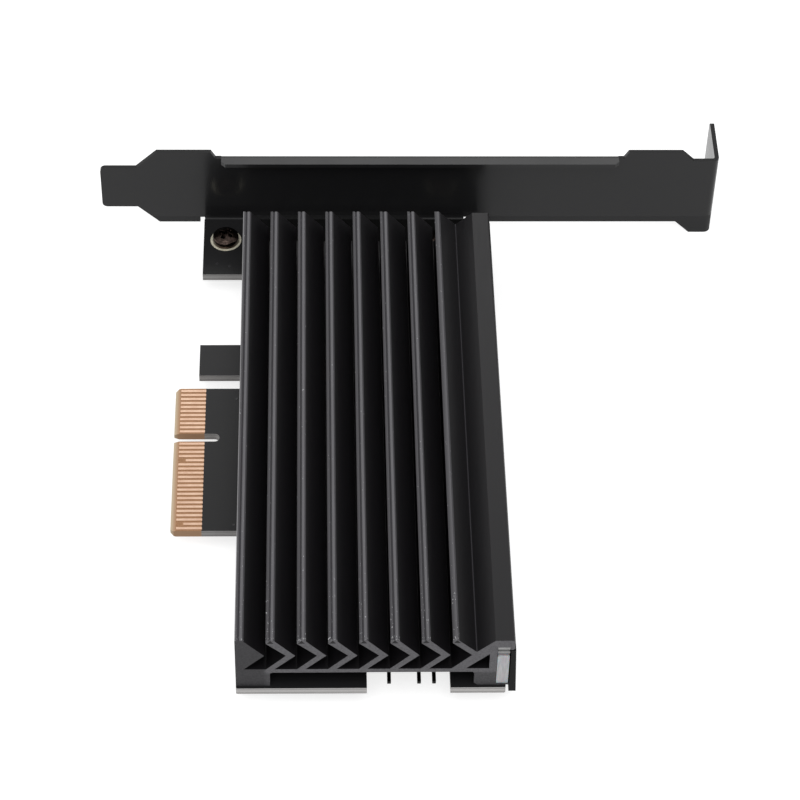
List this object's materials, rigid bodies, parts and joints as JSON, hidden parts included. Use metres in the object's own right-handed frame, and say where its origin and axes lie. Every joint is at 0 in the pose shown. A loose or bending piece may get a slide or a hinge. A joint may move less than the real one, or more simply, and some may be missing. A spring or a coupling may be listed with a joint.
{
  "type": "nvme adapter card",
  "caption": "Expansion card that carries an M.2 solid-state drive under a black chevron-finned heatsink with a light rail, on a full-height slot bracket.",
  "frame": {"origin": "centre of the edge connector's key notch, at the connector's tip, half way through the board", "axes": "+X from the edge connector's tip into the card, +Y along the card towards the slot bracket, +Z out of the component side"},
  "size_m": [0.12, 0.1272, 0.0213],
  "materials": {
    "black_solder_mask": "semi-gloss solder mask over glass laminate",
    "gold_plating": "thin gold plating on copper",
    "black_powder_coat": "smooth semi-gloss black coat on folded steel sheet",
    "black_screw_steel": "black zinc plating",
    "black_anodised": "fine matt black anodising on an extrusion",
    "grey_silicone": "soft matt silicone",
    "opal_acrylic": "translucent white acrylic",
    "opal_film": "thin translucent film",
    "white_solder_mask": "matt white solder mask",
    "led_package": "moulded white package with clear face",
    "flat_lead_film": "laminated flat lead",
    "smoked_plastic": "dark tinted plastic",
    "black_nylon": "moulded glass-filled nylon",
    "black_pin_plating": "black nickel on square pins",
    "tin_plating": "matt tin plating",
    "nickel_brass": "nickel plating on turned brass",
    "black_epoxy": "moulded epoxy package",
    "grey_ferrite": "pressed ferrite",
    "tan_ceramic": "fired ceramic with tinned ends",
    "black_ceramic": "thick-film resistor"
  },
  "bodies": {
    "root": {"circuit_board": "black_solder_mask", "edge_contacts_front": "gold_plating", "edge_contacts_back": "gold_plating", "screw_pads": "gold_plating", "io_bracket": "black_powder_coat", "bracket_screws": "black_screw_steel", "heatsink": "black_anodised", "heatsink_screws": "black_screw_steel", "thermal_pad": "grey_silicone", "light_bar": "opal_acrylic", "diffuser_film": "opal_film", "led_strip_board": "white_solder_mask", "strip_leds": "led_package", "strip_lead": "flat_lead_film", "side_cover": "smoked_plastic", "header_body": "black_nylon", "header_pins": "black_pin_plating", "m2_socket_housing": "black_nylon", "m2_socket_contacts": "tin_plating", "m2_standoff": "nickel_brass", "m2_screw": "black_screw_steel", "voltage_regulator": "black_epoxy", "power_inductor": "grey_ferrite", "bulk_capacitors": "tan_ceramic", "chip_capacitors": "tan_ceramic", "chip_resistors": "black_ceramic"}
  },
  "joints": []
}
